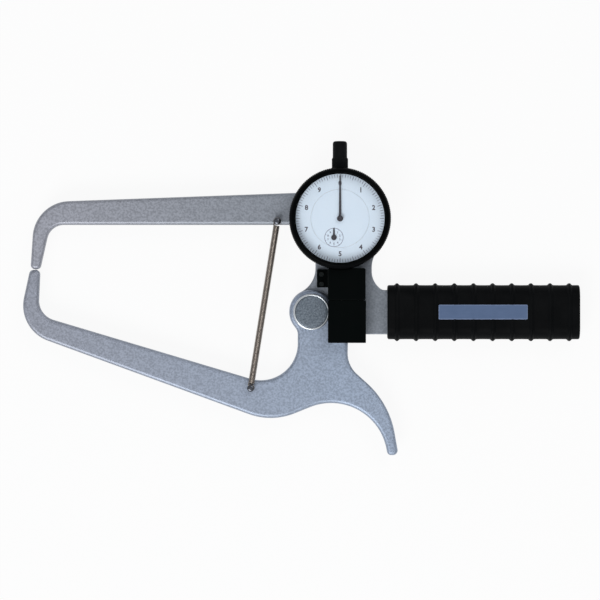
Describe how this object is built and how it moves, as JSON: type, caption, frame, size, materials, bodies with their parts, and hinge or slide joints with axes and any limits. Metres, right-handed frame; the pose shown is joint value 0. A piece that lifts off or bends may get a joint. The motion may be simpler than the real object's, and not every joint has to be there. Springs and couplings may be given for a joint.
{
  "type": "dial caliper gauge",
  "caption": "Outside caliper with a pivoted lower arm, finger trigger and return spring; a plunger dial gauge on the fixed arm shows the jaw opening.",
  "frame": {"origin": "on the axis of the arms' pivot, in the plane of the frame's back face", "axes": "+X from the pivot towards the handle, +Y from the moving arm towards the fixed arm and the dial, +Z out of the dial's face"},
  "size_m": [0.3061, 0.1724, 0.0323],
  "materials": {
    "fixed_arm": "satin, bead blasted",
    "moving_arm": "satin, bead blasted",
    "steel": "bright",
    "cap": "turned",
    "black_paint": "gloss black",
    "black_plastic": "matt black",
    "plate": "satin",
    "dial": "matt white",
    "crystal": "clear",
    "hand": "matt black",
    "brass": "satin"
  },
  "bodies": {
    "frame": {"frame_plate": "fixed_arm", "jaw_tip_fixed": "steel", "pivot_pin": "steel", "pivot_cap": "cap", "pivot_washer": "brass", "spring_pin_upper": "steel", "stem_clamp": "black_paint", "clamp_screw_1": "black_paint", "clamp_screw_2": "black_paint", "spindle_cover": "black_paint", "cover_screw_1": "black_paint", "cover_screw_2": "black_paint", "dial_case": "black_paint", "case_back_cover": "black_paint", "case_screw_1": "steel", "case_screw_2": "steel", "case_screw_3": "steel", "case_screw_4": "steel", "gauge_stem": "steel", "upper_bush": "steel", "stem_cap": "black_paint", "movement_back_plate": "brass", "movement_front_plate": "brass", "inner_dial": "dial", "hairspring": "steel", "spindle_return_spring": "steel", "handle_front_shell": "black_plastic", "handle_back_shell": "black_plastic", "nameplate": "plate", "handle_screw_1": "steel", "handle_screw_2": "steel", "handle_screw_3": "steel"},
    "arm": {"moving_arm": "moving_arm", "jaw_tip_moving": "steel", "actuating_cam": "steel", "cam_screw_1": "steel", "cam_screw_2": "steel", "spring_pin_lower": "steel"},
    "bezel": {"bezel_ring": "black_paint", "crystal": "crystal", "dial_scale_ring": "dial"},
    "spindle": {"spindle": "steel", "contact_point": "steel", "guide_pin": "steel"},
    "counter": {"rack_pinion": "brass", "counter_gear": "brass", "counter_hand": "hand"},
    "pointer": {"centre_pinion": "brass", "pointer": "hand"},
    "takeup": {"takeup_gear": "brass"},
    "spring": {"tension_spring": "steel"},
    "spring_end": {"spring_lower_hook": "steel"}
  },
  "joints": [
    {"name": "arm_swing", "type": "hinge", "parent": "frame", "child": "arm", "pos_m": [0, 0, 0], "axis": [0, 0, 1], "range_deg": [0, 30], "stiffness_Nm_per_rad": 0.12, "springref_deg": -68.75},
    {"name": "spindle_lift", "type": "slide", "parent": "frame", "child": "spindle", "axis": [0, 1, 0], "range_m": [0, 0.00805]},
    {"name": "counter_spin", "type": "hinge", "parent": "frame", "child": "counter", "pos_m": [0.01226, 0.04078, 0.0136], "axis": [0, 0, 1], "range_deg": [0, 289.3]},
    {"name": "pointer_spin", "type": "hinge", "parent": "frame", "child": "pointer", "pos_m": [0.0156, 0.0512, 0.0136], "axis": [0, 0, 1], "range_deg": [-2893, 0]},
    {"name": "takeup_spin", "type": "hinge", "parent": "frame", "child": "takeup", "pos_m": [0.02398, 0.05823, 0.0136], "axis": [0, 0, 1], "range_deg": [0, 289.3]},
    {"name": "bezel_turn", "type": "hinge", "parent": "frame", "child": "bezel", "pos_m": [0.0156, 0.0512, 0.018], "axis": [0, 0, 1], "continuous": true},
    {"name": "spring_swing", "type": "hinge", "parent": "frame", "child": "spring", "pos_m": [-0.0188, 0.0498, 0.0083], "axis": [0, 0, 1], "range_deg": [0, 15.1]},
    {"name": "spring_stretch", "type": "slide", "parent": "spring", "child": "spring_end", "axis": [-0.1574, -0.9875, 0], "range_m": [0, 0.01055], "deforming": ["tension_spring"]}
  ],
  "couplings": [
    {"joint": "spindle_lift", "follows": "arm_swing", "m_per_rad": 0.015339},
    {"joint": "counter_spin", "follows": "arm_swing", "ratio": 9.6376},
    {"joint": "pointer_spin", "follows": "arm_swing", "ratio": -96.376},
    {"joint": "takeup_spin", "follows": "arm_swing", "ratio": 9.6376},
    {"joint": "spring_swing", "follows": "arm_swing", "ratio": 0.50151},
    {"joint": "spring_stretch", "follows": "arm_swing", "m_per_rad": 0.020069}
  ]
}
